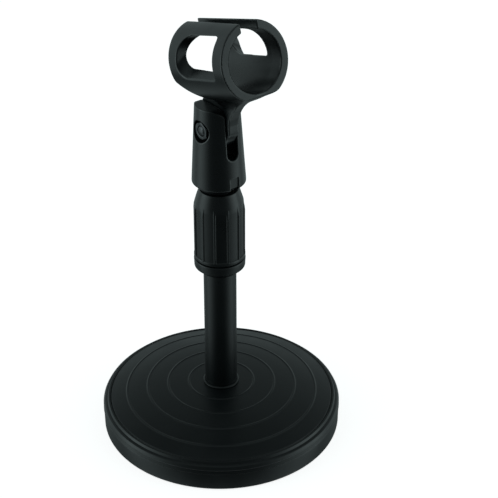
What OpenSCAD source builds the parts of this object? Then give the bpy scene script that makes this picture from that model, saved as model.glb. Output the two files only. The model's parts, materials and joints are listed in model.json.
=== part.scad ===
// Desktop microphone stand: weighted round base, telescoping tube with a
// twist clutch, and a tilting clip with a split, windowed microphone ring.
// Millimetres, +Z up. The origin is the centre of the underside, on the tube's
// axis. The clip faces -Y.

/* [Base] */
// Outer diameter of the base
base_d = 120; // [112:1:140]
// Height of the base's top where the tube leaves it
dome_h = 22.3; // [21:0.1:26]
// Height of the base's top at its rim
dome_edge_h = 14.6; // [13.8:0.1:16]
// Number of raised rings on the top
ring_count = 4; // [2:1:5]
// Number of screws that hold the tray
tray_screw_count = 6; // [4:1:8]

/* [Tubes] */
// Outer diameter of the fixed tube
tube_d = 16; // [15.6:0.1:16.4]
// Outer diameter of the sliding tube
mast_d = 12.7; // [12.3:0.1:12.9]
// Top of the fixed tube
tube_top = 98; // [96:0.5:100]

/* [Clutch] */
// Outer diameter of the clutch sleeve
sleeve_d = 24.8; // [24:0.2:27]
// Number of flutes round the sleeve
flute_count = 12; // [8:1:16]

/* [Clip] */
// Largest diameter of the forked clip body
fork_d = 25.8; // [25.4:0.1:27]
// Height of the tilt pivot when the tube is fully down
pivot_z = 165.7; // [165:0.1:168]
// Tilt of the microphone ring at rest, nose up from level
rest_tilt = 17.3; // [0:0.1:40]
// Outer diameter of the microphone ring
ring_d = 36.2; // [35.4:0.1:38]
// Bore of the ring's front band
ring_bore_d = 28; // [27:0.1:29]
// Thickness of the tongue that the pivot goes through
tongue_t = 5.6; // [5.2:0.1:6.4]

/* [Hidden] */
$fn = 96;
eps = 0.01;
run = 0.05;             // running clearance on a radius

// base
base_r = base_d / 2;
shell_t = 2.4;          // wall of the cover
dome_r = base_r - 2.7;  // where the domed top meets the rim
dome_power = 2.6;
tray_z = 0.3;           // underside of the tray, above the pad's face
tray_top = 3;           // upper face of the tray's floor
skirt_r = base_r - 0.2;
skirt_t = 2;
skirt_top = 9.2;
spigot_r = skirt_r - skirt_t - 0.2;
screw_r = base_r - 6;   // pitch radius of the tray screws
boss_r = 3;
screw_seat_z = 2;       // the tray screws' heads bear on the tray here
weight_r = base_r - 14;
weight_z = 7.5;
weight_top = 15;
nut_z = 4.4;
nut_h = 4;
washer_h = 1.1;
pocket_r = 17;          // pocket in the weight for the nut and washer
pad_r_in = 30;
pad_r_out = 46;

// tubes
tube_r = tube_d / 2;
tube_bore = tube_r - 1.2;
tube_z = 4;
mast_r = mast_d / 2;
mast_bore = mast_r - 1;
mast_z = 12;
mast_top = 136;
bush_h = 12;

// clutch
sleeve_r = sleeve_d / 2;
collar_z = 88.6;
collar_top = 96;
thread_r = 10.4;
thread_top = 114;
sleeve_z = 96.3;
sleeve_top = 133;
collet_r = 8.2;
collet_z = 99;
collet_head_z = 114.2;
collet_head_r = 9.4;
collet_tip_z = 124;
collet_tip_r = 7.6;

// clip
fork_z = 134.4;         // underside of the fork
fork_wide_z = 137.6;     // the stem's chamfer ends here
ear_top = pivot_z + 11.4;
fork_r = fork_d / 2;
ear_r = fork_r - 2.3;      // the ears narrow towards the top
ear_round = 5;
slot_w = tongue_t + 0.3;
slot_z = 152.4;         // lowest point of the slot
insert_r = 9.2;
insert_z = 135.7;
insert_top = 149;
stud_r = 7.94;          // five-eighths inch thread, as a plain cylinder
recess_r = 5.4;         // counterbores over the bolt head and the nut
recess_x = 6.5;         // floor of the counterbores
bolt_r = 2.5;
bolt_end_x = 10.3;
pivot_washer_t = 0.8;
pivot_nut_h = 2.7;
head_r = 4.6;
head_h = 2.6;

// microphone ring, in its own frame: pivot at the origin, bore along -Y
ring_r = ring_d / 2;
bore_r = ring_bore_d / 2;
bore_r_back = bore_r - 1.4;
ring_y_back = 2.5;      // back face, behind the pivot
ring_y_front = -38.4;
ring_z = 31.4;          // bore axis above the pivot
front_band = 6.9;       // length of the straight part of the bore
split_w = 8.8;
window_z0 = ring_z - 3.6;
window_z1 = ring_z + 13.5;
window_y0 = -31;
window_y1 = -4.2;
knuckle_r = 10.5;
ear_sweep_r = 14.2;     // the ears pass under the ring inside this radius

function dome_z(r) = dome_h - (dome_h - dome_edge_h) * pow(r / dome_r, dome_power);

// ---------- helpers ----------

module ring(r_out, r_in, h) {
    difference() {
        cylinder(r = r_out, h = h);
        translate([0, 0, -1]) cylinder(r = r_in, h = h + 2);
    }
}

module around(count, r) {
    for (i = [0 : count - 1])
        rotate([0, 0, i * 360 / count + 15]) translate([r, 0, 0]) children();
}

// rod along +X
module x_rod(r, x0, x1) {
    translate([x0, 0, 0]) rotate([0, 90, 0]) cylinder(r = r, h = x1 - x0);
}

// rectangle with its own radius at each end, drawn in Y and Z, extruded along X
module x_slab(w, y0, y1, z0, z1, r0, r1) {
    rotate([90, 0, 90]) translate([0, 0, -w / 2]) linear_extrude(w)
        union() {
            translate([y0 + r0, z0]) square([y1 - y0 - r0 - r1, z1 - z0]);
            translate([y0, z0 + r0]) square([r0 + eps, z1 - z0 - 2 * r0]);
            translate([y1 - r1 - eps, z0 + r1]) square([r1 + eps, z1 - z0 - 2 * r1]);
            for (z = [z0 + r0, z1 - r0]) translate([y0 + r0, z]) circle(r = r0);
            for (z = [z0 + r1, z1 - r1]) translate([y1 - r1, z]) circle(r = r1);
        }
}

// ---------- base ----------

// outline of the cover's outside, from the tube's hole out and down the rim
dome_steps = 18;
hole_r = tube_r + run;
cover_outline = concat(
    [for (i = [0 : dome_steps])
        let (r = hole_r + (dome_r - 0.3 - hole_r) * i / dome_steps) [r, dome_z(r)]],
    [
        [dome_r, dome_edge_h - 0.5],
        [dome_r + 0.4, dome_edge_h + 0.1],
        [dome_r + 1.2, dome_edge_h - 0.5],
        [dome_r + 1.8, dome_edge_h - 1.4],
        [base_r - 0.5, dome_edge_h - 2],
        [base_r, dome_edge_h - 2.9],
        [base_r, dome_edge_h - 3.5],
        [base_r - 0.4, dome_edge_h - 4.1],
        [base_r - 1.6, dome_edge_h - 4.4],
        [base_r - 1.6, skirt_top + 0.2],
        [spigot_r, skirt_top + 0.2],
        [spigot_r, tray_top + 0.2]
    ]);
cover_inside = concat(
    [[spigot_r - shell_t, tray_top + 0.2], [spigot_r - shell_t, dome_edge_h - shell_t - 0.4]],
    [for (i = [dome_steps : -1 : 3])
        let (r = 14 + (spigot_r - shell_t - 1.5 - 14) * (i - 3) / (dome_steps - 3))
        [r, dome_z(r) - shell_t]],
    [[14, weight_top + 0.1], [hole_r, weight_top + 0.1]]);

module base_cover() {
    color([0.06, 0.065, 0.065])
        difference() {
            union() {
                rotate_extrude($fn = 128) polygon(concat(cover_outline, cover_inside));
                for (i = [1 : ring_count])
                    top_ring(hole_r + 8.3 + (dome_r - hole_r - 17.8) * (i - 1) / (ring_count - 1));
                around(tray_screw_count, screw_r)
                    translate([0, 0, tray_top + 0.2]) cylinder(r = boss_r, h = 10, $fn = 32);
            }
            around(tray_screw_count, screw_r)
                translate([0, 0, tray_top]) cylinder(r = 1.45, h = 8, $fn = 24);
        }
}

// one raised ring on the domed top
module top_ring(r) {
    rotate_extrude($fn = 128)
        polygon([
            [r - 0.8, dome_z(r) - 0.6],
            [r - 0.5, dome_z(r - 0.5) + 0.05],
            [r - 0.2, dome_z(r) + 0.25],
            [r + 0.2, dome_z(r) + 0.25],
            [r + 0.5, dome_z(r + 0.5) + 0.05],
            [r + 0.8, dome_z(r) - 0.6]
        ]);
}

module base_weight() {
    color([0.3, 0.3, 0.31])
        difference() {
            translate([0, 0, weight_z]) cylinder(r = weight_r, h = weight_top - weight_z);
            translate([0, 0, weight_z - 1]) cylinder(r = hole_r, h = 20);
            translate([0, 0, weight_z - 1]) cylinder(r = pocket_r, h = 1 + nut_z + nut_h + washer_h - weight_z);
        }
}

module base_tray() {
    color([0.07, 0.075, 0.075])
        difference() {
            rotate_extrude($fn = 128) polygon([
                [0, tray_z + 0.6], [pad_r_in - 0.2, tray_z + 0.6], [pad_r_in - 0.2, tray_z + 1.2],
                [pad_r_out + 0.2, tray_z + 1.2], [pad_r_out + 0.2, tray_z], [skirt_r - 0.5, tray_z],
                [skirt_r, tray_z + 0.5], [skirt_r, skirt_top - 0.5], [skirt_r - 0.4, skirt_top],
                [skirt_r - skirt_t, skirt_top], [skirt_r - skirt_t, tray_top], [0, tray_top]
            ]);
            around(tray_screw_count, screw_r) {
                cylinder(r = 1.7, h = 10, $fn = 24);
                translate([0, 0, -1]) cylinder(r = 3, h = 1 + screw_seat_z, $fn = 32);
            }
        }
}

module tray_screws() {
    color([0.55, 0.55, 0.57])
        around(tray_screw_count, screw_r) difference() {
            union() {
                translate([0, 0, screw_seat_z - 1]) cylinder(r = 2.7, h = 1, $fn = 32);
                translate([0, 0, 1.5]) cylinder(r = 1.4, h = 8.5, $fn = 24);
            }
            for (a = [0, 90]) rotate([0, 0, a]) translate([-1.5, -0.25, 0.5]) cube([3, 0.5, 1]);
        }
}

module base_pad() {
    color([0.12, 0.12, 0.12]) ring(pad_r_out, pad_r_in, tray_z + 1.2);
}

module foot_nut() {
    color([0.6, 0.6, 0.62])
        translate([0, 0, nut_z]) difference() {
            intersection() {
                cylinder(r = 24 / sqrt(3), h = nut_h, $fn = 6);
                cylinder(r = 13.2, h = nut_h);
            }
            translate([0, 0, -1]) cylinder(r = hole_r, h = nut_h + 2);
        }
}

module foot_washer() {
    color([0.62, 0.62, 0.64]) translate([0, 0, nut_z + nut_h]) ring(15, hole_r, washer_h);
}

// small collar fixed to the tube, seated on the cover
module tube_collar() {
    color([0.05, 0.05, 0.05])
        rotate_extrude() polygon([
            [hole_r, dome_h + 0.02], [tube_r + 1, dome_h + 0.02], [tube_r + 1, dome_h + 0.7],
            [tube_r + 0.7, dome_h + 1.1], [hole_r, dome_h + 1.2]
        ]);
}

module outer_tube() {
    color([0.07, 0.075, 0.075])
        translate([0, 0, tube_z]) ring(tube_r, tube_bore, tube_top - tube_z);
}

// ---------- clutch ----------

// lower collar on the tube's end, with the threaded spigot above it
module clutch_body() {
    color([0.06, 0.065, 0.065])
        difference() {
            rotate_extrude() polygon([
                [hole_r, collar_z], [tube_r + 1.4, collar_z], [sleeve_r - 0.2, collar_z + 2.8],
                [sleeve_r + 0.1, collar_z + 4], [sleeve_r + 0.1, collar_top - 0.5],
                [sleeve_r - 0.5, collar_top], [thread_r, collar_top],
                [thread_r, thread_top - 0.6], [thread_r - 0.6, thread_top],
                [mast_r + 0.4, thread_top], [mast_r + 0.4, tube_top], [hole_r, tube_top]
            ]);
            translate([0, 0, tube_top + 0.6]) cylinder(r = collet_r + run, h = 30);
        }
}

// split collet that grips the sliding tube
module clutch_collet() {
    color([0.8, 0.8, 0.78])
        difference() {
            rotate_extrude() polygon([
                [mast_r + run, collet_z], [collet_r, collet_z], [collet_r, collet_head_z],
                [collet_head_r, collet_head_z], [collet_head_r, collet_head_z + 0.8],
                [collet_tip_r, collet_tip_z], [mast_r + run, collet_tip_z]
            ]);
            for (a = [0, 90]) rotate([0, 0, a + 20])
                translate([-15, -0.5, collet_z + 4]) cube([30, 1, 40]);
        }
}

// outside of the sleeve: straight, then a shoulder that tapers to the neck
sleeve_outline = [
    [sleeve_r - 0.5, sleeve_z], [sleeve_r, sleeve_z + 0.5], [sleeve_r, 122.5],
    [sleeve_r - 0.25, 124.6], [sleeve_r - 0.8, 126.8], [sleeve_r - 1.5, 129.2],
    [sleeve_r - 2.2, 131.4], [sleeve_r - 2.9, sleeve_top]
];
sleeve_inside = [
    [mast_r + 0.3, sleeve_top], [mast_r + 0.3, collet_tip_z + 0.4],
    [collet_tip_r + run, collet_tip_z + 0.4], [collet_tip_r + run, collet_tip_z],
    [collet_head_r + run, collet_head_z + 0.8], [thread_r + run, collet_head_z + 0.8],
    [thread_r + run, sleeve_z]
];

module clutch_sleeve() {
    color([0.06, 0.065, 0.065])
        difference() {
            rotate_extrude() polygon(concat(sleeve_outline, sleeve_inside));
            for (i = [0 : flute_count - 1])
                rotate([0, 0, i * 360 / flute_count - 2.6]) flute();
        }
}

// one shallow flute: a wide cylinder that grazes the sleeve's side
module flute() {
    flute_r = 6;
    flute_depth = 0.6;
    translate([sleeve_r + flute_r - flute_depth, 0, sleeve_z + 1.9])
        cylinder(r = flute_r, h = 30, $fn = 48);
}

// ---------- sliding mast ----------

module mast_bush() {
    color([0.85, 0.85, 0.82]) translate([0, 0, mast_z + 0.1]) ring(tube_bore - run, mast_r + run, bush_h - 0.2);
}

module inner_tube() {
    color([0.08, 0.085, 0.085])
        translate([0, 0, mast_z]) ring(mast_r, mast_bore, mast_top - mast_z);
}

// ring pressed on the mast above the bush
module bush_retainer() {
    color([0.6, 0.6, 0.62]) translate([0, 0, mast_z + bush_h + 0.1]) ring(tube_bore - 0.15, mast_r, 1.2);
}

// plug in the mast's lower end, with the flange that carries the bush
module mast_plug() {
    color([0.15, 0.15, 0.15])
        union() {
            translate([0, 0, mast_z - 2]) cylinder(r = tube_bore - 0.3, h = 2);
            translate([0, 0, mast_z - eps]) cylinder(r = mast_bore, h = 6);
        }
}

// threaded stud pressed into the mast's upper end
module thread_stud() {
    color([0.7, 0.7, 0.72])
        union() {
            translate([0, 0, mast_top - 14]) cylinder(r = mast_bore, h = 14 + eps);
            translate([0, 0, mast_top]) cylinder(r = stud_r, h = 11.4);
            translate([0, 0, mast_top + 11.4]) cylinder(r1 = stud_r, r2 = stud_r - 0.8, h = 0.8);
        }
}

// ---------- clip ----------

module clip_fork() {
    color([0.06, 0.065, 0.065])
        difference() {
            intersection() {
                rotate_extrude() polygon([
                    [0, fork_z], [fork_r - 3.2, fork_z], [fork_r - 0.1, fork_wide_z - 0.1],
                    [fork_r, fork_wide_z + 0.4], [ear_r + 0.3, ear_top - 0.4],
                    [ear_r - 0.1, ear_top], [0, ear_top]
                ]);
                union() {
                    translate([-30, -30, 100]) cube([60, 60, ear_top - ear_round - 100]);
                    x_slab(60, -ear_r - 0.6, ear_r + 0.6, ear_top - 20, ear_top, ear_round, ear_round);
                }
            }
            // slot between the ears, with a round bottom
            rotate([90, 0, 0]) translate([0, 0, -30]) linear_extrude(60) union() {
                translate([0, slot_z + slot_w / 2]) circle(d = slot_w);
                translate([-slot_w / 2, slot_z + slot_w / 2]) square([slot_w, 60]);
            }
            // pivot hole and counterbores
            translate([0, 0, pivot_z]) {
                x_rod(bolt_r + 0.06, -20, 20);
                x_rod(recess_r, recess_x, 20);
                x_rod(recess_r, -20, -recess_x);
            }
            // socket for the threaded insert, with a smaller mouth
            translate([0, 0, insert_z]) cylinder(r = insert_r, h = insert_top - insert_z);
            translate([0, 0, fork_z - 1]) cylinder(r = stud_r + 0.1, h = 4);
            // notch in the front of the lower rim
            key_notch();
        }
}

// notch in the front of the stem: its floor follows the stem's side and chamfer
module key_notch() {
    notch_w = 4.7;
    notch_depth = 0.9;
    notch_top = fork_z + 8.8;
    floor_y = -fork_r + notch_depth;
    corner_z = fork_wide_z + 0.4;
    low_z = fork_z - 1;
    rotate([90, 0, 90]) translate([0, 0, -notch_w / 2]) linear_extrude(notch_w)
        polygon([
            [-fork_r - 1, notch_top], [floor_y, notch_top], [floor_y, corner_z],
            [floor_y + corner_z - low_z, low_z], [-fork_r - 1, low_z]
        ]);
}

module thread_insert() {
    color([0.75, 0.62, 0.35])
        translate([0, 0, insert_z]) ring(insert_r, stud_r, insert_top - insert_z);
}

// bolt through the ears and the tongue, head on +X
module pivot_bolt() {
    head_x = recess_x + pivot_washer_t;
    color([0.5, 0.5, 0.52])
        translate([0, 0, pivot_z]) difference() {
            union() {
                x_rod(bolt_r, -bolt_end_x + 0.5, head_x + eps);
                translate([-bolt_end_x + 0.5, 0, 0]) rotate([0, -90, 0])
                    cylinder(r1 = bolt_r, r2 = bolt_r - 0.5, h = 0.5);
                x_rod(head_r, head_x, head_x + head_h - 0.8);
                translate([head_x + head_h - 0.8, 0, 0]) rotate([0, 90, 0])
                    cylinder(r1 = head_r, r2 = head_r - 1.2, h = 0.8);
            }
            for (a = [0, 90]) rotate([a, 0, 0])
                translate([head_x + head_h - 1.5, -2.4, -0.45]) cube([5, 4.8, 0.9]);
        }
}

module pivot_nut() {
    nut_x = recess_x + pivot_washer_t;
    color([0.5, 0.5, 0.52])
        translate([-nut_x, 0, pivot_z]) rotate([0, -90, 0]) difference() {
            intersection() {
                cylinder(r = 8 / sqrt(3), h = pivot_nut_h, $fn = 6);
                union() {
                    cylinder(r = 5, h = pivot_nut_h - 0.6);
                    translate([0, 0, pivot_nut_h - 0.6]) cylinder(r1 = 4.62, r2 = 4, h = 0.6);
                }
            }
            translate([0, 0, -1]) cylinder(r = bolt_r, h = 6);
        }
}

module pivot_washers() {
    color([0.55, 0.55, 0.57])
        for (x = [-recess_x - pivot_washer_t, recess_x])
            translate([x, 0, pivot_z]) rotate([0, 90, 0]) ring(5, bolt_r + 0.05, pivot_washer_t);
}

// the ring's own frame, placed at the pivot and tilted nose up
module at_pivot() {
    translate([0, 0, pivot_z]) rotate([-rest_tilt, 0, 0]) children();
}

// rod along -Y, from y0 forward to y1
module y_rod(r0, r1, y0, y1) {
    translate([0, y0, ring_z]) rotate([90, 0, 0]) cylinder(r1 = r0, r2 = r1, h = y0 - y1);
}

// side view of the tongue: round knuckle, widening up to the ring
module tongue_side(w) {
    rotate([90, 0, 90]) translate([0, 0, -w / 2]) linear_extrude(w)
        union() {
            circle(r = knuckle_r);
            polygon([
                [-10.2, -2.5], [-11.6, 1], [-14.2, 4.2], [-18, 7.8], [-24, 12.4], [-31, 16.4],
                [-31, 17.3], [0, 17.3], [4, 13.6], [4.8, 12.4], [7, 7.8]
            ]);
        }
}

// front view of the fillets that spread the tongue into the ring
module saddle_front() {
    rotate([90, 0, 0]) translate([0, 0, -10]) linear_extrude(60)
        polygon([
            [-10.5, 17.3], [-9.6, 16.2], [-6.6, 14.7], [-4.6, 13.4], [-3.6, 11.8], [-3.2, 9.6],
            [3.2, 9.6], [3.6, 11.8], [4.6, 13.4], [6.6, 14.7], [9.6, 16.2], [10.5, 17.3]
        ]);
}

module saddle() {
    intersection() {
        tongue_side(30);
        saddle_front();
    }
}

module clip_ring() {
    front_y = ring_y_front + front_band;
    color([0.06, 0.065, 0.065])
        at_pivot() difference() {
            union() {
                tongue_side(tongue_t);
                difference() {
                    union() {
                        y_rod(ring_r, ring_r, ring_y_back, ring_y_front);
                        saddle();
                    }
                    x_rod(ear_sweep_r, -30, 30);
                    // bevels under the back and front edges
                    translate([-30, ring_y_back, ring_z - 7]) rotate([45, 0, 0]) translate([0, -20, -40])
                        cube([60, 80, 40]);
                    translate([-30, ring_y_front, ring_z - 15.8]) rotate([-16, 0, 0]) translate([0, -20, -10])
                        cube([60, 40, 10]);
                }
            }
            // bore: straight at the front, tapering towards the back
            y_rod(bore_r, bore_r, front_y + eps, ring_y_front - 1);
            y_rod(bore_r_back, bore_r, ring_y_back, front_y);
            y_rod(bore_r_back, bore_r_back, ring_y_back + 1, ring_y_back - eps);
            // split along the top
            translate([-split_w / 2, ring_y_front - 1, ring_z]) cube([split_w, 60, 30]);
            // windows in both sides
            x_slab(60, window_y0, window_y1, window_z0, window_z1, 3, 7);
            x_rod(bolt_r + 0.06, -20, 20);
        }
}

base_cover();
base_weight();
base_tray();
tray_screws();
base_pad();
foot_nut();
foot_washer();
tube_collar();
outer_tube();
clutch_body();
clutch_collet();
clutch_sleeve();
mast_bush();
inner_tube();
bush_retainer();
mast_plug();
thread_stud();
clip_fork();
thread_insert();
pivot_bolt();
pivot_nut();
pivot_washers();
clip_ring();
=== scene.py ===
"""Looks of the desktop microphone stand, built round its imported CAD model.

Outlines and fields are in millimetres, in the CAD model's own axes, and become metres when a mesh is made.
"""
import json
import math

import bpy
import numpy as np
from mathutils import Matrix, Vector


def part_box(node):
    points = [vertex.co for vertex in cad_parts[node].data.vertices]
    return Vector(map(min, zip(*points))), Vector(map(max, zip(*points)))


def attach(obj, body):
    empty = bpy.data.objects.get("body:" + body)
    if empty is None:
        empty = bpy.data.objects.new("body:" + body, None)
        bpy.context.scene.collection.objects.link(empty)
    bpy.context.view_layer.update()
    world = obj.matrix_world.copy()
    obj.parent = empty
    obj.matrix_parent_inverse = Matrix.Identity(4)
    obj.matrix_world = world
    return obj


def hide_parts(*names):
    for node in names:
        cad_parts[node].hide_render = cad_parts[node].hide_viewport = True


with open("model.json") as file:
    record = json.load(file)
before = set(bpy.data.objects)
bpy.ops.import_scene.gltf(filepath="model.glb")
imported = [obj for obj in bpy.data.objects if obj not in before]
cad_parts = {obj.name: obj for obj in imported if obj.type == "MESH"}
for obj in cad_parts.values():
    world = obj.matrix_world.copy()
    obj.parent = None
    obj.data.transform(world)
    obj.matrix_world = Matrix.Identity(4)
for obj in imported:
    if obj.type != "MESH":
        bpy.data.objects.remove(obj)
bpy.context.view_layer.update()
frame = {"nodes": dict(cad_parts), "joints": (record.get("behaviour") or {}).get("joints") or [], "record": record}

MM = 0.001


# ---------- sizes that the frame gives ----------

def extent(node):
    """Lowest and highest corner of a CAD node, in millimetres."""
    low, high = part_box(node)
    return np.array(low) / MM, np.array(high) / MM


def top(node):
    return extent(node)[1][2]


def bottom(node):
    return extent(node)[0][2]


def outer_radius(node):
    return extent(node)[1][0]


def joint(name):
    return next(j for j in frame["joints"] if j["name"] == name)


record = frame["record"]
clamp = next(m for m in record["mounts"] if m["name"] == "mic_clamp")
pivot_z = joint("clip_tilt")["pos_m"][2] / MM
tilt = math.atan2(clamp["axis"][2], -clamp["axis"][1])


# ---------- outlines ----------

def rounded(corners, steps=5):
    """Closed outline whose corners, given as (x, y, radius), are rounded."""
    points = []
    for i, (x, y, radius) in enumerate(corners):
        here = np.array((x, y), float)
        if radius == 0:
            points.append(here)
            continue
        arms = []
        for other in (corners[i - 1], corners[(i + 1) % len(corners)]):
            arm = np.array(other[:2], float) - here
            arms.append(arm / np.linalg.norm(arm))
        half = math.acos(np.clip(arms[0] @ arms[1], -1, 1)) / 2
        reach = radius / math.tan(half)
        for t in np.linspace(0, 1, steps + 1):
            points.append(here + reach * ((1 - t) ** 2 * arms[0] + t ** 2 * arms[1]))
    return points


def ease(t):
    """Smooth step from 0 to 1."""
    return t * t * (3 - 2 * t)


def dome_height(r, centre, edge, radius, power=2.6):
    """Height of the base's domed top at radius r."""
    return centre - (centre - edge) * (r / radius) ** power


# ---------- meshes ----------

def new_object(name, vertices, faces, sharp_angle=40):
    """Object from vertices in millimetres, smooth except at edges sharper than sharp_angle."""
    mesh = bpy.data.meshes.new(name)
    mesh.from_pydata((np.asarray(vertices) * MM).tolist(), [], faces)
    mesh.validate()
    smooth(mesh, sharp_angle)
    piece = bpy.data.objects.new(name, mesh)
    bpy.context.scene.collection.objects.link(piece)
    return piece


def smooth(mesh, sharp_angle):
    mesh.shade_smooth()
    mesh.set_sharp_from_angle(angle=math.radians(sharp_angle))
    mark_edges(mesh)


def mark_edges(mesh):
    """Stores at each vertex how exposed it is: 0.5 where flat, more on a ridge, less in a groove."""
    count = len(mesh.vertices)
    points = np.array([v.co for v in mesh.vertices], float)
    normals = np.array([v.vector for v in mesh.vertex_normals], float)
    a, b = np.array([e.vertices[:] for e in mesh.edges]).T
    way = points[b] - points[a]
    way /= np.maximum(np.linalg.norm(way, axis=1, keepdims=True), 1e-12)
    near = np.maximum(np.bincount(a, minlength=count) + np.bincount(b, minlength=count), 1)
    fall = np.bincount(a, (way * normals[a]).sum(1), count) - np.bincount(b, (way * normals[b]).sum(1), count)
    exposed = np.arccos(np.clip(fall / near, -1, 1)) / math.pi
    blurred = exposed + np.bincount(a, exposed[b], count) + np.bincount(b, exposed[a], count)
    layer = mesh.attributes.get("exposed") or mesh.attributes.new("exposed", "FLOAT", "POINT")
    layer.data.foreach_set("value", blurred / (near + 1))


def turned(name, outline, segments=256, radius=None, sharp_angle=40):
    """Closed outline of (radius, z) points swept round the Z axis. radius(r, z, angle) may reshape it."""
    outline = np.array(outline, float)
    angles = np.arange(segments) * 2 * math.pi / segments
    r, angle = np.meshgrid(outline[:, 0], angles, indexing="ij")
    z = np.repeat(outline[:, 1:2], segments, axis=1)
    if radius:
        r = radius(r, z, angle)
    vertices = np.stack([r * np.cos(angle), r * np.sin(angle), z], -1).reshape(-1, 3)
    rows = len(outline)
    faces = []
    for i in range(rows):
        low, high = i * segments, (i + 1) % rows * segments
        for j in range(segments):
            k = (j + 1) % segments
            faces.append((low + j, low + k, high + k, high + j))
    return new_object(name, vertices, faces, sharp_angle)


def surface(name, field, low, high, pitch, sharp_angle=60):
    """Mesh of the surface where field(x, y, z) is 0, negative inside.

    Each grid cell that the surface crosses gets one vertex, which is then moved onto the surface.
    """
    low = np.array(low, float)
    counts = np.ceil((np.array(high) - low) / pitch).astype(int) + 1
    grid = np.ix_(*[low[i] + pitch * np.arange(counts[i]) for i in range(3)])
    value = np.broadcast_to(field(*grid), counts)
    crossings, cells, flips = [], [], []
    for axis in range(3):
        near = np.moveaxis(value, axis, 0)[:-1]
        far = np.moveaxis(value, axis, 0)[1:]
        hit = np.nonzero((near < 0) != (far < 0))
        share = near[hit] / (near[hit] - far[hit])
        start = np.stack(hit, 1)
        order = [axis] + [k for k in range(3) if k != axis]
        place = np.empty((len(start), 3), int)
        place[:, order] = start
        point = place.astype(float)
        point[:, axis] += share
        u, v = (axis + 1) % 3, (axis + 2) % 3
        around = []
        for du, dv in ((0, 0), (-1, 0), (-1, -1), (0, -1)):
            cell = place.copy()
            cell[:, u] += du
            cell[:, v] += dv
            around.append(np.ravel_multi_index(cell.T, counts))
        crossings.append(point)
        cells.append(np.stack(around, 1))
        flips.append(near[hit] > 0)
    crossings, cells, flips = map(np.concatenate, (crossings, cells, flips))
    cells[flips] = cells[flips][:, ::-1]
    used, faces = np.unique(cells, return_inverse=True)
    faces = faces.reshape(-1, 4)
    weight = np.bincount(faces.ravel())
    vertices = np.stack([
        np.bincount(faces.ravel(), weights=np.repeat(crossings[:, k], 4)) / weight for k in range(3)
    ], 1) * pitch + low
    settle(vertices, field, pitch)
    return new_object(name, vertices, faces.tolist(), sharp_angle)


def settle(vertices, field, pitch, rounds=3, probe=0.01):
    """Moves vertices along the field's slope onto its surface."""
    for _ in range(rounds):
        value = field(*vertices.T)
        slope = np.empty_like(vertices)
        for k in range(3):
            ahead, behind = vertices.copy(), vertices.copy()
            ahead[:, k] += probe
            behind[:, k] -= probe
            slope[:, k] = (field(*ahead.T) - field(*behind.T)) / (2 * probe)
        steepness = np.maximum((slope ** 2).sum(1), 0.25)
        move = -(value / steepness)[:, None] * slope
        length = np.maximum(np.linalg.norm(move, axis=1, keepdims=True), 1e-9)
        vertices += move * np.minimum(1, 0.5 * pitch / length)


# ---------- fields: distances in millimetres, negative inside ----------

def join(a, b, fillet):
    """Both shapes, with a fillet of that radius where they meet."""
    return np.maximum(fillet, np.minimum(a, b)) - np.hypot(np.maximum(fillet - a, 0), np.maximum(fillet - b, 0))


def meet(a, b, edge):
    """What both shapes hold, with that radius on the edge where they cross."""
    return np.minimum(-edge, np.maximum(a, b)) + np.hypot(np.maximum(edge + a, 0), np.maximum(edge + b, 0))


def cut(a, b, edge):
    """Shape a without shape b, with that radius on the edge."""
    return meet(a, -b, edge)


def inside_outline(p, q, outline):
    """Signed distance from (p, q) to a closed outline."""
    nearest, sign = np.inf, 1
    for (ax, ay), (bx, by) in zip(outline, outline[1:] + outline[:1]):
        ex, ey = bx - ax, by - ay
        wx, wy = p - ax, q - ay
        along = np.clip((wx * ex + wy * ey) / (ex * ex + ey * ey), 0, 1)
        nearest = np.minimum(nearest, (wx - ex * along) ** 2 + (wy - ey * along) ** 2)
        above, below = q >= ay, q < by
        side = ex * wy > ey * wx
        sign = np.where((above & below & side) | ~(above | below | side), -sign, sign)
    return sign * np.sqrt(nearest)


def rounded_box(p, q, half_p, half_q, radius):
    """Signed distance to a rectangle centred on 0, with rounded corners."""
    dp, dq = np.abs(p) - half_p + radius, np.abs(q) - half_q + radius
    return np.hypot(np.maximum(dp, 0), np.maximum(dq, 0)) + np.minimum(np.maximum(dp, dq), 0) - radius


# ---------- materials ----------

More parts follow.
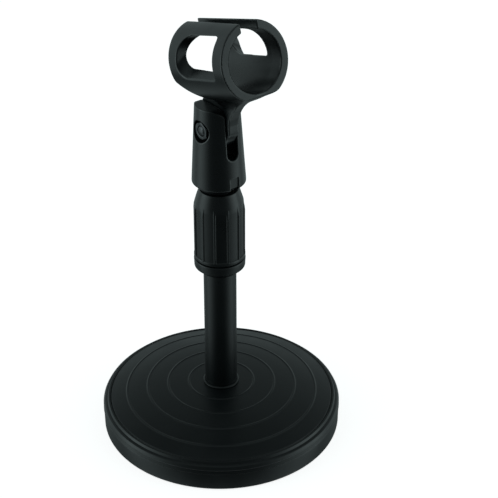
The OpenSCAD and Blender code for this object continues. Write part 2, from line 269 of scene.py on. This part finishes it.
class Finish:
    """A Principled material whose node tree is built step by step."""

    def __init__(self, name, **sockets):
        self.material = bpy.data.materials.new(name)
        self.material.use_nodes = True
        self.tree = self.material.node_tree
        self.shader = self.tree.nodes["Principled BSDF"]
        for socket, value in sockets.items():
            self.shader.inputs[socket.replace("_", " ")].default_value = value
        self.place = self.tree.nodes.new("ShaderNodeTexCoord").outputs["Object"]

    def node(self, kind, inputs=None, **settings):
        made = self.tree.nodes.new(kind)
        for key, value in settings.items():
            setattr(made, key, value)
        for key, value in (inputs or {}).items():
            if isinstance(value, bpy.types.NodeSocket):
                self.tree.links.new(value, made.inputs[key])
            else:
                made.inputs[key].default_value = value
        return made

    def noise(self, size, detail=3.0, stretch=(1, 1, 1)):
        """Noise from 0 to 1 whose patches are about size millimetres across."""
        mapped = self.node("ShaderNodeMapping", {"Vector": self.place, "Scale": stretch})
        inputs = {"Vector": mapped.outputs["Vector"], "Scale": 1 / (size * MM), "Detail": detail}
        return self.node("ShaderNodeTexNoise", inputs).outputs["Fac"]

    def ramp(self, value, low, high, out_low, out_high):
        inputs = {"Value": value, "From Min": low, "From Max": high, "To Min": out_low, "To Max": out_high}
        return self.node("ShaderNodeMapRange", inputs).outputs["Result"]

    def mix(self, share, a, b):
        made = self.node("ShaderNodeMix", data_type="RGBA")
        for socket, value in ((made.inputs["Factor"], share), (made.inputs["A"], a), (made.inputs["B"], b)):
            if isinstance(value, bpy.types.NodeSocket):
                self.tree.links.new(value, socket)
            else:
                socket.default_value = value if isinstance(value, float) else (*value, 1)
        return made.outputs["Result"]

    def add(self, a, b, operation="ADD"):
        return self.node("ShaderNodeMath", {0: a, 1: b}, operation=operation).outputs["Value"]

    def set(self, socket, value):
        self.tree.links.new(value, self.shader.inputs[socket])

    def relief(self, *layers):
        """Bump from (height from 0 to 1, depth in millimetres) layers."""
        normal = None
        for height, depth in layers:
            inputs = {"Height": height, "Distance": depth * MM, "Strength": 1.0}
            if normal:
                inputs["Normal"] = normal
            normal = self.node("ShaderNodeBump", inputs).outputs["Normal"]
        self.set("Normal", normal)

    def edges(self, low=0.52, high=0.60):
        """1 on exposed edges and 0 elsewhere."""
        exposed = self.node("ShaderNodeAttribute", attribute_name="exposed").outputs["Fac"]
        return self.ramp(exposed, low, high, 0.0, 1.0)


def moulded_plastic(name, dark, light, rough, grain, grain_depth):
    """Satin moulded plastic: pebble grain, patches rubbed smoother by handling, edges polished by wear and
    lightened in colour, partly by wear and partly as a painted highlight.
    """
    finish = Finish(name, IOR=1.5, Specular_IOR_Level=0.5)
    patches = finish.noise(14, 4)
    pebbles = finish.noise(grain, 2)
    wear_and_highlight = finish.add(finish.edges(), finish.ramp(finish.noise(3, 4), 0.4, 0.7, 0.2, 1.0), "MULTIPLY")
    colour = finish.mix(patches, dark, light)
    # Lightens the colour on exposed edges towards 2.2 times the light tone: partly wear, partly a painted
    # highlight.
    colour = finish.mix(finish.add(wear_and_highlight, 0.5, "MULTIPLY"), colour, tuple(2.2 * c for c in light))
    finish.set("Base Color", colour)
    roughness = finish.ramp(patches, 0.3, 0.7, rough - 0.04, rough + 0.05)
    roughness = finish.add(roughness, finish.ramp(pebbles, 0.3, 0.7, -0.02, 0.03))
    finish.set("Roughness", finish.add(roughness, finish.add(wear_and_highlight, -0.08, "MULTIPLY")))
    finish.set("Specular IOR Level", finish.ramp(finish.edges(0.505, 0.56), 0.0, 1.0, 0.5, 1.0))
    finish.relief((patches, 0.02), (pebbles, grain_depth))
    return finish.material


def powder_coat(name, dark, light, rough):
    """Black powder coat on steel: orange peel with a fine sparkle of roughness."""
    finish = Finish(name, IOR=1.5, Specular_IOR_Level=0.5)
    peel = finish.noise(0.9, 2)
    patches = finish.noise(18, 3)
    finish.set("Base Color", finish.mix(patches, dark, light))
    roughness = finish.ramp(patches, 0.3, 0.7, rough - 0.03, rough + 0.04)
    finish.set("Roughness", finish.add(roughness, finish.ramp(finish.noise(0.3, 2), 0.3, 0.7, -0.03, 0.03)))
    finish.relief((peel, 0.006))
    return finish.material


def metal(name, dark, light, rough, stretch=(1, 1, 1), scratch_depth=0.004):
    """Metal with stretched machining or plating streaks."""
    finish = Finish(name, Metallic=1.0)
    streaks = finish.noise(0.35, 4, stretch)
    patches = finish.noise(5, 4)
    finish.set("Base Color", finish.mix(finish.ramp(patches, 0.3, 0.7, 0.0, 1.0), dark, light))
    roughness = finish.ramp(streaks, 0.3, 0.7, rough - 0.08, rough + 0.1)
    finish.set("Roughness", finish.add(roughness, finish.ramp(patches, 0.3, 0.7, -0.04, 0.06)))
    finish.relief((streaks, scratch_depth))
    return finish.material


def cast(name):
    """Rough cast iron with a sandy skin."""
    finish = Finish(name, Metallic=0.6)
    sand = finish.noise(0.8, 6)
    patches = finish.noise(9, 4)
    finish.set("Base Color", finish.mix(patches, (0.05, 0.05, 0.052), (0.11, 0.105, 0.1)))
    finish.set("Roughness", finish.ramp(sand, 0.3, 0.7, 0.6, 0.85))
    finish.relief((sand, 0.15))
    return finish.material


def acetal(name):
    """Milky white moulded plastic."""
    finish = Finish(name, Subsurface_Weight=0.2, Subsurface_Scale=0.002)
    cloud = finish.noise(6, 3)
    finish.set("Base Color", finish.mix(cloud, (0.66, 0.66, 0.62), (0.8, 0.8, 0.76)))
    finish.set("Roughness", finish.ramp(cloud, 0.3, 0.7, 0.3, 0.42))
    finish.relief((finish.noise(0.5, 2), 0.004))
    return finish.material


def foam(name):
    """Closed-cell foam: small pores in a matt skin, with painted shade darkening their pits."""
    finish = Finish(name, Specular_IOR_Level=0.3)
    cells = finish.node("ShaderNodeTexVoronoi", {"Vector": finish.place, "Scale": 1 / (0.7 * MM)})
    distance = cells.outputs["Distance"]
    patches = finish.noise(7, 3)
    # Darker in the pits of the pores that the bump makes: painted shade.
    grain = finish.mix(finish.ramp(distance, 0.0, 0.6, 0.0, 1.0), (0.012, 0.012, 0.012), (0.03, 0.03, 0.031))
    finish.set("Base Color", finish.mix(finish.add(patches, 0.4, "MULTIPLY"), grain, (0.045, 0.044, 0.042)))
    finish.set("Roughness", finish.ramp(distance, 0.0, 0.6, 0.95, 0.8))
    finish.relief((distance, 0.12))
    return finish.material


BLACK = (0.0040, 0.0056, 0.0064)
SOFT_BLACK = (0.0066, 0.0090, 0.0100)
base_plastic = moulded_plastic("base_plastic", BLACK, SOFT_BLACK, 0.34, 0.55, 0.006)
grip_plastic = moulded_plastic("grip_plastic", BLACK, SOFT_BLACK, 0.30, 0.45, 0.004)
clip_plastic = moulded_plastic("clip_plastic", BLACK, SOFT_BLACK, 0.30, 0.45, 0.004)
coated_steel = powder_coat("coated_steel", BLACK, SOFT_BLACK, 0.34)
black_nylon = moulded_plastic("black_nylon", (0.012, 0.012, 0.012), (0.02, 0.02, 0.02), 0.45, 0.4, 0.006)
zinc_steel = metal("zinc_steel", (0.42, 0.43, 0.45), (0.62, 0.62, 0.62), 0.32)
dark_steel = metal("dark_steel", (0.045, 0.048, 0.05), (0.13, 0.13, 0.135), 0.30)
brass = metal("brass", (0.55, 0.40, 0.17), (0.68, 0.52, 0.26), 0.28, (1, 1, 8))
cast_iron = cast("cast_iron")
white_acetal = acetal("white_acetal")
foam_rubber = foam("foam_rubber")


def place(piece, material, body, slot, *nodes):
    """Gives a piece its material and its CAD body, and hides the CAD nodes that it stands for."""
    piece.data.materials.append(material)
    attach(piece, body)
    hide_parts(*nodes)
    return piece


def screw_places():
    """Centres of the tray screws, read from the six solids of their CAD node."""
    points = np.array([v.co for v in frame["nodes"]["tray_screws"].data.vertices]) / MM
    angles = np.degrees(np.arctan2(points[:, 1], points[:, 0])) % 360
    reach = np.hypot(points[:, 0], points[:, 1])
    count = 6
    first = np.median(angles % (360 / count))
    radius = (reach.min() + reach.max()) / 2
    return [(radius, math.radians(first + i * 360 / count)) for i in range(count)]


# ---------- base ----------

def make_base_shell():
    """Domed cover: shallow dome with raised rings, and a rim of three beads with grooves between them."""
    rim_r = outer_radius("base_cover")
    dome_r, top_r = rim_r - 2.7, rim_r - 4.0
    hole_r = outer_radius("outer_tube") + 0.05
    centre, seam, boss = bottom("tube_collar") - 0.02, top("base_tray"), top("base_weight") + 0.1
    edge = centre - 7.7
    shell = 2.4
    floor_z = 3.4
    rings = np.linspace(hole_r + 8.3, dome_r - 9.5, 4)
    bead_half, bead_height = 0.7, 0.30
    row_step = 0.25

    def height(r):
        return dome_height(r, centre, edge, dome_r)

    outline = []
    for r in np.arange(hole_r + 0.2, top_r, row_step):
        offset = np.abs(rings - r).min()
        lift = bead_height * math.cos(min(offset / bead_half, 1) * math.pi / 2) ** 2
        outline.append((r, height(r) + lift))
    upper_bead = [
        (rim_r - 3.85, edge - 0.05, 0.12), (rim_r - 3.35, edge + 0.6, 0.25), (rim_r - 2.65, edge + 0.55, 0.3),
        (rim_r - 2.05, edge - 0.7, 0.25),
    ]
    shoulder = [
        (rim_r - 1.6, edge - 0.75, 0.2), (rim_r - 0.75, edge - 1.15, 0.5), (rim_r, edge - 2.65, 0.3),
        (rim_r - 0.15, edge - 2.95, 0.1), (rim_r - 0.9, edge - 3.2, 0.15),
    ]
    lower_bead = [
        (rim_r - 0.85, edge - 3.7, 0.2), (rim_r, edge - 4.75, 0.2), (rim_r, seam + 0.35, 0.1),
        (rim_r - 0.25, seam + 0.1, 0.1),
    ]
    inside = [
        (rim_r - 3.8, seam + 0.1, 0), (rim_r - 3.8, floor_z, 0), (rim_r - 5, floor_z, 0),
        (rim_r - 5, edge - shell, 1), (dome_r - 4.5, height(dome_r - 4.5) - shell, 2), (30, height(30) - shell, 8),
        (hole_r + 4, centre - shell, 0), (hole_r + 4, boss, 0), (hole_r, boss, 0), (hole_r, centre - 0.2, 0),
    ]
    rim = rounded([(*outline[-1], 0)] + upper_bead + shoulder + lower_bead + inside)
    outline += [tuple(p) for p in rim][1:]
    return place(turned("base_shell", outline, 300), base_plastic, "base", "base_plastic", "base_cover")


def carve(piece, cutters):
    """Cuts the cutters out of a piece and removes them."""
    for cutter in cutters:
        change = piece.modifiers.new("carve", "BOOLEAN")
        change.operation = "DIFFERENCE"
        change.solver = "EXACT"
        change.object = cutter
    bpy.context.view_layer.update()
    evaluated = piece.evaluated_get(bpy.context.evaluated_depsgraph_get())
    mesh = bpy.data.meshes.new_from_object(evaluated)
    piece.modifiers.clear()
    piece.data = mesh
    for cutter in cutters:
        bpy.data.objects.remove(cutter)
    smooth(mesh, 40)
    return piece


def make_tray():
    """Tray with a smooth skirt, a recess for the pad and a stepped well for each screw."""
    low, high = extent("base_tray")
    r, z0, z1 = high[0], low[2], high[2]
    pad_low, pad_high = 30.0, outer_radius("base_pad")
    outline = rounded([
        (0.01, z0 + 0.6, 0), (pad_low - 0.2, z0 + 0.6, 0.15), (pad_low - 0.2, z0 + 1.2, 0.1),
        (pad_high + 0.2, z0 + 1.2, 0.1), (pad_high + 0.2, z0, 0.25), (r - 0.05, z0, 0.9),
        (r, z1, 0.35), (r - 2, z1, 0.2), (r - 2, 3, 0.6), (0.01, 3, 0),
    ])
    tray = turned("tray", outline, 288)
    head_r, shank_r, seat_z = 3.0, 1.7, 2
    wells = []
    for radius, angle in screw_places():
        centre = Vector((radius * math.cos(angle), radius * math.sin(angle), 0)) * MM
        for well_r, z_low, z_high in ((head_r, z0 - 1, seat_z), (shank_r, z0, 4)):
            well = turned("well", [(0, z_low), (well_r, z_low), (well_r, z_high), (0, z_high)], 40)
            well.data.transform(Matrix.Translation(centre))
            wells.append(well)
    carve(tray, wells)
    return place(tray, base_plastic, "base", "base_plastic", "base_tray")


def make_foot_pad():
    """Foam ring under the tray, its edges pressed round."""
    z1 = top("base_pad")
    inner, outer = 30.0, outer_radius("base_pad")
    outline = rounded([(inner, 0, 0.7), (outer, 0, 0.7), (outer, z1, 0.2), (inner, z1, 0.2)])
    pad = place(turned("foot_pad", outline, 192), foam_rubber, "base", "foam_pad", "base_pad")
    return pad


# ---------- tube and clutch ----------

def make_tube_bead():
    """Small bead round the tube where it leaves the base."""
    low, high = extent("tube_collar")
    inner = outer_radius("outer_tube") + 0.03
    outline = rounded([
        (inner, low[2], 0), (high[0], low[2], 0.1), (high[0], low[2] + 0.8, 0.35), (inner + 0.25, high[2], 0.2),
        (inner, high[2] - 0.1, 0),
    ])
    return place(turned("tube_bead", outline, 128), coated_steel, "base", "coated_steel", "tube_collar")


def make_fixed_tube():
    """Coated steel tube with a rolled top lip."""
    low, high = extent("outer_tube")
    r, wall = high[0], 1.2
    outline = rounded([(r - wall, low[2], 0.2), (r, low[2], 0.3), (r, high[2], 0.3), (r - wall, high[2], 0.2)])
    return place(turned("fixed_tube", outline, 160), coated_steel, "base", "coated_steel", "outer_tube")


def make_clutch_collar():
    """Collar on the tube's end, below the sleeve, with its threaded spigot."""
    low, high = extent("clutch_body")
    r = high[0]
    z0, z1 = low[2], bottom("clutch_sleeve") - 0.3
    bore = outer_radius("outer_tube") + 0.03
    spigot, tube_stop = 10.4, 98.6
    outline = rounded([
        (bore, z0, 0.1), (bore + 1.2, z0 + 0.1, 0.6), (r - 0.2, z0 + 2.9, 0.9), (r, z1 - 0.3, 0.5),
        (r - 0.9, z1, 0.3),
        (spigot, z1, 0), (spigot, high[2], 0.4), (outer_radius("inner_tube") + 0.4, high[2], 0.3),
        (outer_radius("clutch_collet") - 1.1, tube_stop, 0), (bore, tube_stop, 0),
    ])
    return place(turned("clutch_collar", outline, 192), grip_plastic, "base", "grip_plastic", "clutch_body")


def make_sleeve():
    """Clutch sleeve: twelve broad flutes with narrow ridges between them, and a tapered shoulder."""
    low, high = extent("clutch_sleeve")
    r, z0, z1 = high[0], low[2], high[2] + 0.3
    flutes, turn, depth, crown = 12, math.radians(27.4), 0.6, 0.12
    wall_start, wall_width = 0.92, 0.14
    flute_z, runout = z0 + 1.9, 0.5
    mast_r = outer_radius("inner_tube")
    bore, bore_top = 10.45, z0 + 18.7
    shoulder = [(0.25, 8.7), (0.8, 6.5), (1.5, 4.1), (2.2, 1.9)]
    side = [(r, z, 0) for z in np.arange(z0 + 1, z1 - 10.8, 0.35)]
    outline = rounded(
        [(r - 0.6, z0, 0.3), (r, z0 + 0.5, 0.3)] + side
        + [(r - inset, z1 - drop, 0.8) for inset, drop in shoulder]
        + [
            (r - 2.9, z1, 0.5), (mast_r + 0.3, z1, 0.3), (mast_r + 0.3, z1 - 8.8, 0), (mast_r + 1.3, z1 - 9.2, 0),
            (mast_r + 3.1, bore_top, 0), (bore, bore_top, 0), (bore, z0, 0.2),
        ])

    def fluted(radius, z, angle):
        """The flutes' floor is a straight cylinder, so they run out where the shoulder narrows."""
        phase = (angle - turn) * flutes / (2 * math.pi)
        across = np.abs(phase - np.round(phase)) * 2
        wall = ease(np.clip((wall_start - across) / wall_width, 0, 1))
        end = ease(np.clip((z - flute_z) / runout, 0, 1))
        trough = depth * wall * end
        floor = r - trough + crown * across ** 2 * (trough > 0)
        return np.where(radius > bore + 0.05, np.minimum(radius, floor), radius)

    return place(turned("sleeve", outline, 720, fluted), grip_plastic, "sleeve", "grip_plastic", "clutch_sleeve")


# ---------- clip ----------

def make_fork():
    """Forked clip body: tapered round stem, two ears, a slot with a soft edge, counterbores and a key notch."""
    low, high = extent("clip_fork")
    z0, ear_top = low[2], high[2]
    r = high[0] - 0.1
    ear_r = r - 2.5
    slot_half = 2.95
    slot_z = pivot_z - 13.6
    recess_x, recess_r = 6.5, 5.3
    bolt_hole_r, mouth_r, socket_r = 2.56, 8.04, 9.2
    offset, spread, crown_high, ear_round = 0.75, 0.085, 20, 5.0
    stem = [(-1, z0), (r - 3.2, z0), (r - 0.05, z0 + 3.15), (r, z0 + 3.6)]
    profile = stem + [(ear_r + 0.2, ear_top - 0.3), (ear_r, ear_top), (-1, ear_top)]
    notch_depth, notch_half, notch_high = 1.1, 2.35, 8.8

    def field(x, y, z):
        radius = np.hypot(x, y)
        lean = offset * np.clip((z - z0 - 4) / (ear_top - z0 - 4), 0, 1)
        shape = inside_outline(np.hypot(x, y - lean), z, profile) + 0.3
        shape = np.maximum(shape, -5) - 0.3
        crown_half = ear_r + spread * (ear_top - z)
        crown = rounded_box(y - offset, z - ear_top + crown_high, crown_half, crown_high, ear_round)
        shape = meet(shape, np.where(z < ear_top - crown_high, -5.0, crown), 0.3)
        slot = np.hypot(x, np.minimum(z - slot_z - slot_half, 0)) - slot_half
        shape = cut(shape, slot, 0.7)
        hub = np.hypot(y, z - pivot_z)
        shape = cut(shape, np.maximum(hub - recess_r, recess_x - np.abs(x)), 0.35)
        shape = np.maximum(shape, bolt_hole_r - hub)
        floor = np.maximum(-y - r, (-y - r + 3.2 - z + z0) * math.sqrt(0.5)) + notch_depth
        notch = np.maximum(np.maximum(np.abs(x) - notch_half, -floor), z - z0 - notch_high)
        shape = cut(shape, notch, 0.2)
        mouth = np.maximum(radius - mouth_r, z - z0 - 3)
        socket = np.maximum(radius - socket_r, np.maximum(z0 + 1.3 - z, z - top("thread_insert")))
        return np.maximum(shape, -np.minimum(mouth, socket))

    piece = surface("fork", field, (-13.5, -13.5, z0 - 0.6), (13.5, 13.5, ear_top + 0.6), 0.3)
    return place(piece, clip_plastic, "mast", "clip_plastic", "clip_fork")


def ring_frame():
    """The microphone ring's own frame: origin on the pivot, bore along -Y, tilted nose up."""
    return Matrix.Translation((0, 0, pivot_z * MM)) @ Matrix.Rotation(-tilt, 4, "X")


def make_ring():
    """Split ring with a window in each side, on a tongue that flares into it."""
    front = ring_frame().inverted() @ Vector(clamp["pos_m"]) / MM
    y_front, axis_z = front.y, front.z
    y_back = 2.5
    r = outer_radius("clip_ring")
    bore_front, bore_back = clamp["dims"]["r_mm"], clamp["dims"]["r_mm"] - 1.4
    band = clamp["dims"]["length_mm"]
    tongue_half, knuckle_r, bolt_hole_r = 2.8, 10.5, 2.56
    sweep_r = 14.2      # the ears' corners pass inside this radius as the clip tilts
    tongue_side = [
        (-10.2, -2.5), (-11.6, 1), (-14.2, 4.2), (-18, 7.8), (-24, 12.4), (-31, 16.4), (-31, 17.3), (0, 17.3),
        (4, 13.6), (4.8, 12.4), (7, 7.8),
    ]
    bevel = math.radians(16)
    split_front, split_back = 4.4, 2.7

    def field(x, y, z):
        radius = np.hypot(x, z - axis_z)
        ends = np.maximum(y - y_back - 0.09 * (z - axis_z), y_front - y)
        ring = meet(radius - r, ends, 0.5)
        ring = meet(ring, (y - y_back - z + axis_z - 7) * math.sqrt(0.5), 1.5)
        ring = meet(ring, (axis_z - 15.8 - z) * math.cos(bevel) - (y - y_front) * math.sin(bevel), 1.0)
        side = join(np.hypot(y, z) - knuckle_r, inside_outline(y, z, tongue_side), 4.5)
        tongue = meet(side, np.abs(x) - tongue_half, 0.5)
        flare = join(ring, tongue, 5.0)
        swept = cut(flare, np.hypot(y, z) - sweep_r, 0.3)
        shape = np.minimum(swept, tongue)
        taper = np.clip(1 - (y_back - y) / (y_back - y_front - band), 0, 1)
        bore = radius - bore_front + (bore_front - bore_back) * taper
        shape = cut(shape, np.where(radius < r + 2, bore, 5.0), 0.55)
        split_half = split_front - (split_front - split_back) * (y - y_front) / (y_back - y_front)
        shape = cut(shape, np.maximum(np.abs(x) - split_half, axis_z - z), 0.4)
        depth = np.clip(r - radius, -0.6, 5)
        low_z, high_z = axis_z - 4.6 + 0.8 * depth, axis_z + 13.7 - 0.2 * depth
        fore_y, rear_y = -31.2 + 0.69 * depth, -3.6 - 0.1 * depth
        middle_z, half_z = (low_z + high_z) / 2, (high_z - low_z) / 2
        rear = rounded_box(y - rear_y + 12, z - middle_z, 12, half_z, 7.0)
        fore = rounded_box(y - fore_y - 9, z - middle_z, 9, half_z, 1.5)
        shape = cut(shape, np.minimum(rear, fore), 0.5)
        return np.maximum(shape, bolt_hole_r - np.hypot(y, z))

    piece = surface("ring", field, (-19, y_front - 0.8, -11.4), (19, 11.4, axis_z + r + 0.8), 0.4)
    piece.data.transform(ring_frame())
    return place(piece, clip_plastic, "holder", "clip_plastic", "clip_ring")


def make_pivot_bolt():
    """Pan-head bolt along X, with a cross recess and a pointed end."""
    low, high = extent("pivot_bolt")
    shank, head = 2.5, 4.6
    head_x = high[0] - 2.6
    cross_long, cross_half, cross_deep = 2.4, 0.45, 1.5
    outline = rounded([
        (0.01, low[0], 0), (shank - 0.9, low[0] + 0.15, 0.5), (shank - 0.2, low[0] + 0.6, 0.3), (shank, head_x, 0),
        (head, head_x, 0.2), (head, head_x + 1.5, 0.9), (head - 1.6, high[0], 0.9), (0.01, high[0], 0),
    ])
    bolt = turned("bolt", outline, 96)
    slots = []
    for x, y in ((cross_long, cross_half), (cross_half, cross_long)):
        z0, z1 = high[0] - cross_deep, high[0] + 1
        corners = [(i * x, j * y, k) for k in (z0, z1) for i, j in ((-1, -1), (1, -1), (1, 1), (-1, 1))]
        faces = [(3, 2, 1, 0), (4, 5, 6, 7)] + [(i, (i + 1) % 4, (i + 1) % 4 + 4, i + 4) for i in range(4)]
        slots.append(new_object("slot", corners, faces))
    carve(bolt, slots)
    bolt.data.transform(Matrix.Translation((0, 0, pivot_z * MM)) @ Matrix.Rotation(math.pi / 2, 4, "Y"))
    return place(bolt, dark_steel, "mast", "blackened_steel", "pivot_bolt")


def make_pivot_nut():
    """Hexagon nut with chamfered corners, on the bolt's far end."""
    low, high = extent("pivot_nut")
    half_flats, corner_r, bore_r, pitch = 4.0, 4.62, 2.5, 0.14

    def field(x, y, z):
        height, sixty = z - pivot_z, math.radians(60)
        flats = [np.abs(y * math.cos(a) + height * math.sin(a)) for a in (0, sixty, 2 * sixty)]
        hexagon = np.maximum(np.maximum(flats[0], flats[1]), flats[2]) - half_flats
        hub = np.hypot(y, height)
        faces = np.maximum(low[0] - x, x - high[0])
        cone = (hub - corner_r + (low[0] + 0.6 - x)) * math.sqrt(0.5)
        return cut(meet(meet(hexagon, faces, 0.12), cone, 0.15), hub - bore_r, 0.5)

    margin = 0.5
    piece = surface("nut", field, low - margin, high + margin, pitch, 40)
    return place(piece, dark_steel, "mast", "blackened_steel", "pivot_nut")


def make_pivot_washers():
    """A plain washer under the bolt's head and another under the nut."""
    low, high = extent("pivot_washers")
    thick, inner, outer = 0.8, 2.55, 5.1
    outline = rounded([(inner, 0, 0.1), (outer, 0, 0.15), (outer, thick, 0.25), (inner, thick, 0.1)])
    both = []
    for name, turn, x in (("washer_left", -1, low[0] + thick), ("washer_right", 1, high[0] - thick)):
        washer = turned(name, outline, 96)
        washer.data.transform(
            Matrix.Translation((x * MM, 0, pivot_z * MM)) @ Matrix.Rotation(turn * math.pi / 2, 4, "Y"))
        both.append(place(washer, dark_steel, "mast", "blackened_steel", "pivot_washers"))
    return both


make_base_shell()
make_tray()
make_foot_pad()
make_tube_bead()
make_fixed_tube()
make_clutch_collar()
make_sleeve()
make_fork()
make_ring()
make_pivot_bolt()
make_pivot_nut()
make_pivot_washers()

# CAD nodes that stay, each with its own finish
for node, material in {
    "base_weight": cast_iron, "tray_screws": zinc_steel, "foot_nut": zinc_steel, "foot_washer": zinc_steel,
    "clutch_collet": white_acetal, "mast_bush": white_acetal, "inner_tube": coated_steel,
    "bush_retainer": zinc_steel, "mast_plug": black_nylon, "thread_stud": zinc_steel, "thread_insert": brass,
}.items():
    kept = frame["nodes"][node]
    kept.data.materials.clear()
    kept.data.materials.append(material)


# ---------- camera ----------

CAMERA_AZIMUTH = math.radians(36.8)     # how far the viewer stands round from the clip's front
CAMERA_YAW = math.radians(1.32)
CAMERA_PITCH = math.radians(31.18)
CAMERA_REACH = 617.3                    # level distance from the tube's axis
CAMERA_HEIGHT = 472.9
CAMERA_SIDE = -0.127
CAMERA_LENS = 108.43                    # for a sensor 36 mm wide


def add_camera():
    camera = bpy.data.objects.new("camera", bpy.data.cameras.new("camera"))
    bpy.context.scene.collection.objects.link(camera)
    camera.data.lens = CAMERA_LENS
    camera.data.sensor_width = 36
    camera.data.clip_start, camera.data.clip_end = 0.01, 20
    c, s = math.cos(CAMERA_AZIMUTH), math.sin(CAMERA_AZIMUTH)
    camera.location = Vector((
        CAMERA_SIDE * c - CAMERA_REACH * s, -CAMERA_SIDE * s - CAMERA_REACH * c, CAMERA_HEIGHT)) * MM
    camera.rotation_euler = (math.pi / 2 - CAMERA_PITCH, 0, -(CAMERA_AZIMUTH + CAMERA_YAW))
    bpy.context.scene.camera = camera


# ---------- studio ----------

FLOOR_GLOW = 0.84
# Brightness of the surroundings against how far a direction points towards the viewer, from -1 to 1
AROUND = [
    (-1.0, 0.36), (-0.6, 0.6), (-0.3, 0.52), (-0.2, 0.6), (-0.08, 1.4), (0.15, 1.45), (0.4, 1.0), (0.6, 0.42),
    (0.76, 0.12), (1.0, 0.1),
]
# The same against its height, from -1 straight down to 1 straight up
ABOVE = [
    (-1.0, 0.6), (-0.82, 0.45), (-0.66, 0.2), (-0.56, 0.26), (-0.46, 0.6), (-0.4, 0.72), (-0.1, 0.9), (0.1, 1.1),
    (0.3, 0.85), (0.5, 0.5), (0.85, 0.22), (1.0, 0.17),
]


def add_floor():
    """Wide pale floor. It glows a little, as a lit paper sweep does."""
    half = 3.0
    mesh = bpy.data.meshes.new("floor")
    mesh.from_pydata([(-half, -half, 0), (half, -half, 0), (half, half, 0), (-half, half, 0)], [], [(0, 1, 2, 3)])
    floor = bpy.data.objects.new("floor", mesh)
    bpy.context.scene.collection.objects.link(floor)
    finish = Finish("floor_paper", Roughness=0.9, Specular_IOR_Level=0.1)
    finish.set("Base Color", finish.mix(finish.noise(60, 3), (0.80, 0.80, 0.80), (0.82, 0.82, 0.82)))
    finish.shader.inputs["Emission Color"].default_value = (1, 1, 1, 1)
    finish.shader.inputs["Emission Strength"].default_value = FLOOR_GLOW
    mesh.materials.append(finish.material)
    floor.visible_glossy = False
    floor.visible_diffuse = False


def add_surroundings():
    """A tent of soft light: bright at both sides, dimmer behind and overhead, open and dark towards the viewer."""
    world = bpy.data.worlds.new("tent")
    world.use_nodes = True
    bpy.context.scene.world = world
    tree = world.node_tree
    nodes, links = tree.nodes, tree.links
    direction = nodes.new("ShaderNodeTexCoord").outputs["Generated"]
    split = nodes.new("ShaderNodeSeparateXYZ")
    links.new(direction, split.inputs[0])
    level = nodes.new("ShaderNodeVectorMath")
    level.operation = "MULTIPLY"
    level.inputs[1].default_value = (1, 1, 0)
    links.new(direction, level.inputs[0])
    towards = nodes.new("ShaderNodeVectorMath")
    towards.operation = "DOT_PRODUCT"
    towards.inputs[1].default_value = (-math.sin(CAMERA_AZIMUTH), -math.cos(CAMERA_AZIMUTH), 0)
    links.new(level.outputs[0], towards.inputs[0])
    around = curve(tree, towards.outputs["Value"], AROUND)
    above = curve(tree, split.outputs["Z"], ABOVE)
    product = nodes.new("ShaderNodeMath")
    product.operation = "MULTIPLY"
    links.new(around, product.inputs[0])
    links.new(above, product.inputs[1])
    links.new(product.outputs[0], nodes["Background"].inputs["Strength"])
    nodes["Background"].inputs["Color"].default_value = (0.82, 1.0, 1.0, 1)


def curve(tree, value, points):
    """Socket that follows (input from -1 to 1, output) points with smooth steps between them."""
    shift = tree.nodes.new("ShaderNodeMapRange")
    shift.inputs["From Min"].default_value = -1
    tree.links.new(value, shift.inputs["Value"])
    ramp = tree.nodes.new("ShaderNodeValToRGB")
    ramp.color_ramp.interpolation = "EASE"
    stops = ramp.color_ramp.elements
    while len(stops) < len(points):
        stops.new(0.5)
    for stop, (at, level) in zip(stops, points):
        stop.position = (at + 1) / 2
        stop.color = (level, level, level, 1)
    tree.links.new(shift.outputs["Result"], ramp.inputs["Fac"])
    return ramp.outputs["Color"]


add_camera()
add_floor()
add_surroundings()
bpy.context.scene.view_settings.view_transform = "Standard"
